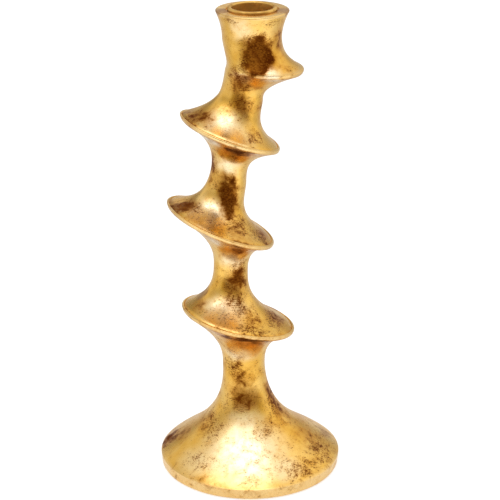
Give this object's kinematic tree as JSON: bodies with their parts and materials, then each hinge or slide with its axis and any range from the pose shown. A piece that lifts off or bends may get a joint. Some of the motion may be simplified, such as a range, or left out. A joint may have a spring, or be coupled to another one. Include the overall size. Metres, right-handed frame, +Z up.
{
  "type": "candle holder",
  "caption": "Tall gilded candle holder with tilted, flared flanges stepping down a leaning stem on a round domed foot, with a lift-out brass candle cup.",
  "frame": {"origin": "centre of the round foot on the surface that the holder stands on", "axes": "+Z up along the holder, -Y towards the viewer of the picture, +X to the viewer's right"},
  "size_m": [0.104, 0.104, 0.2712],
  "materials": {
    "gilded_casting": "cast resin under antique gold leaf, worn to a red-brown ground",
    "cup_brass": "drawn brass, aged",
    "zinc_steel": "zinc plated steel",
    "raw_iron": "raw casting",
    "plate_steel": "black painted sheet steel",
    "felt": "dark wool felt"
  },
  "bodies": {
    "holder": {"spiral_stem": "gilded_casting", "foot": "gilded_casting", "tie_rod": "zinc_steel", "clamp_washer": "zinc_steel", "lock_washer": "zinc_steel", "hex_nut": "zinc_steel", "locating_dowel": "zinc_steel", "ballast_ring": "raw_iron", "base_plate": "plate_steel", "base_plate_screws": "zinc_steel", "felt_pad": "felt"},
    "cup": {"candle_cup": "cup_brass"}
  },
  "joints": [
    {"name": "cup_lift", "type": "slide", "parent": "holder", "child": "cup", "axis": [0, 0, 1], "range_m": [0, 0.03]}
  ]
}
